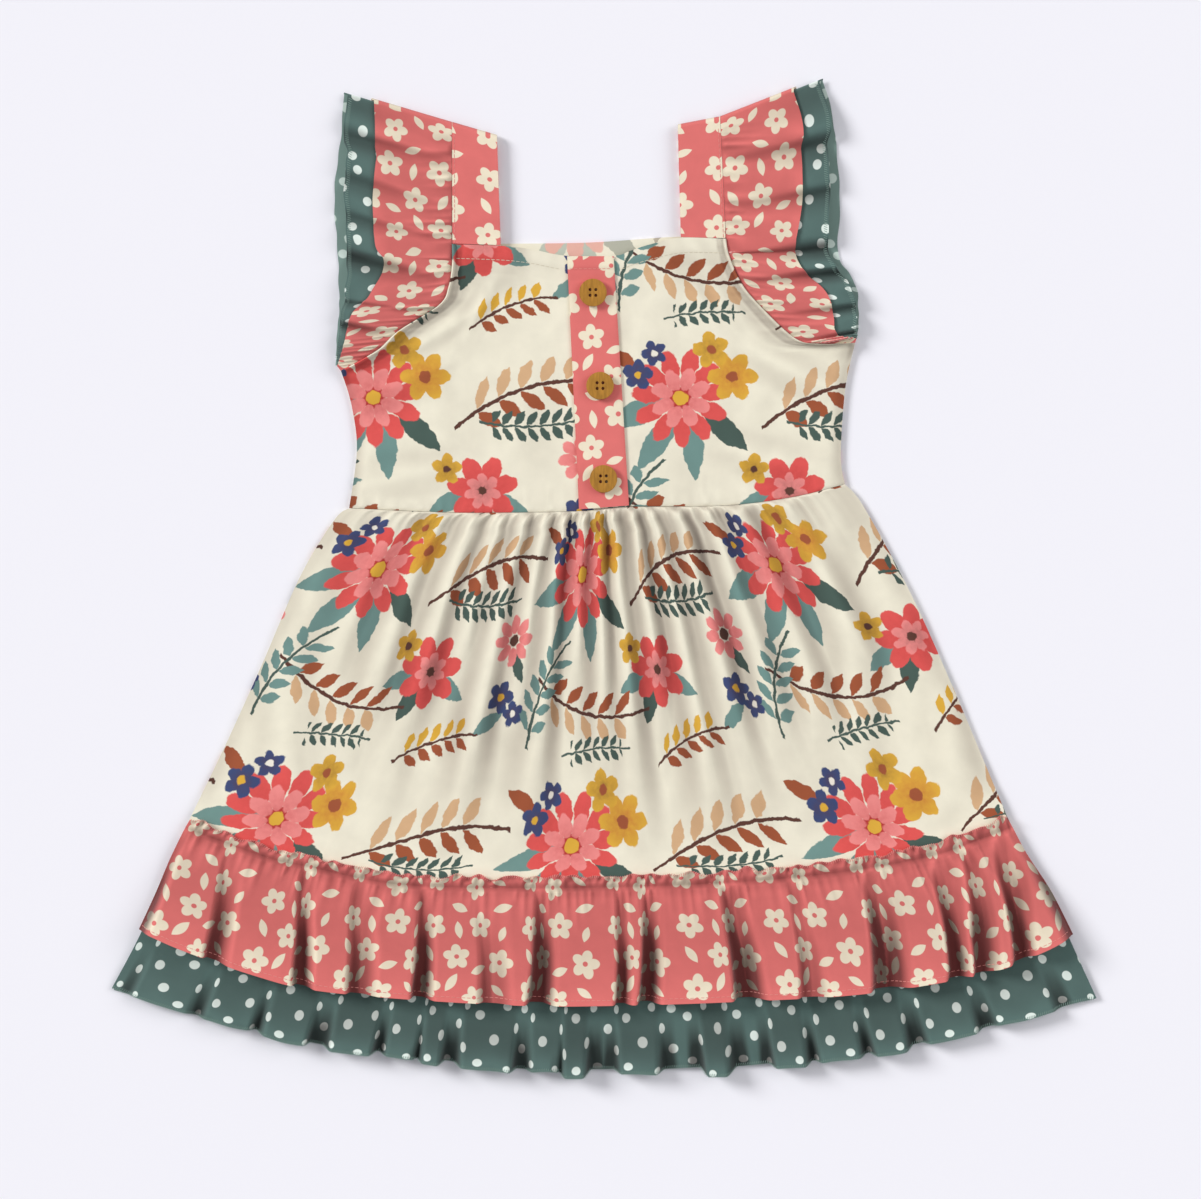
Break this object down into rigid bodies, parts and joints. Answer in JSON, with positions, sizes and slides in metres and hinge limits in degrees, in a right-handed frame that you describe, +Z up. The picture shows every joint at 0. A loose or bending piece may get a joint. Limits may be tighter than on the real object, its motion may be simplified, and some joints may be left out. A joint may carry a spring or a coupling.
{
  "type": "flutter sleeve dress, laid flat",
  "caption": "Child's sleeveless dress laid flat, with gathered skirt, flutter sleeves and a ruffled hem.",
  "frame": {"origin": "centre of the dress's bounding box in X and Y, on the surface it lies on", "axes": "+Z up from the surface, out of the dress's front; +Y towards the shoulders; +X to the viewer's right"},
  "size_m": [0.5518, 0.5592, 0.0103],
  "materials": {
    "cream_print_knit": "matt brushed knit with a printed pattern",
    "coral_flower_knit": "matt brushed knit with small printed flowers",
    "teal_dot_knit": "matt brushed knit with printed dots",
    "button_wood": "satin varnished wood"
  },
  "bodies": {
    "root": {"bodice_front": "cream_print_knit", "bodice_back": "cream_print_knit", "placket": "coral_flower_knit", "button_top": "button_wood", "button_middle": "button_wood", "button_bottom": "button_wood", "strap_left": "coral_flower_knit", "strap_right": "coral_flower_knit", "flutter_coral_left": "coral_flower_knit", "flutter_coral_right": "coral_flower_knit", "flutter_teal_left": "teal_dot_knit", "flutter_teal_right": "teal_dot_knit", "skirt_front": "cream_print_knit", "skirt_back": "cream_print_knit", "ruffle_coral_front": "coral_flower_knit", "ruffle_coral_back": "coral_flower_knit", "ruffle_teal_front": "teal_dot_knit", "ruffle_teal_back": "teal_dot_knit"}
  },
  "joints": []
}
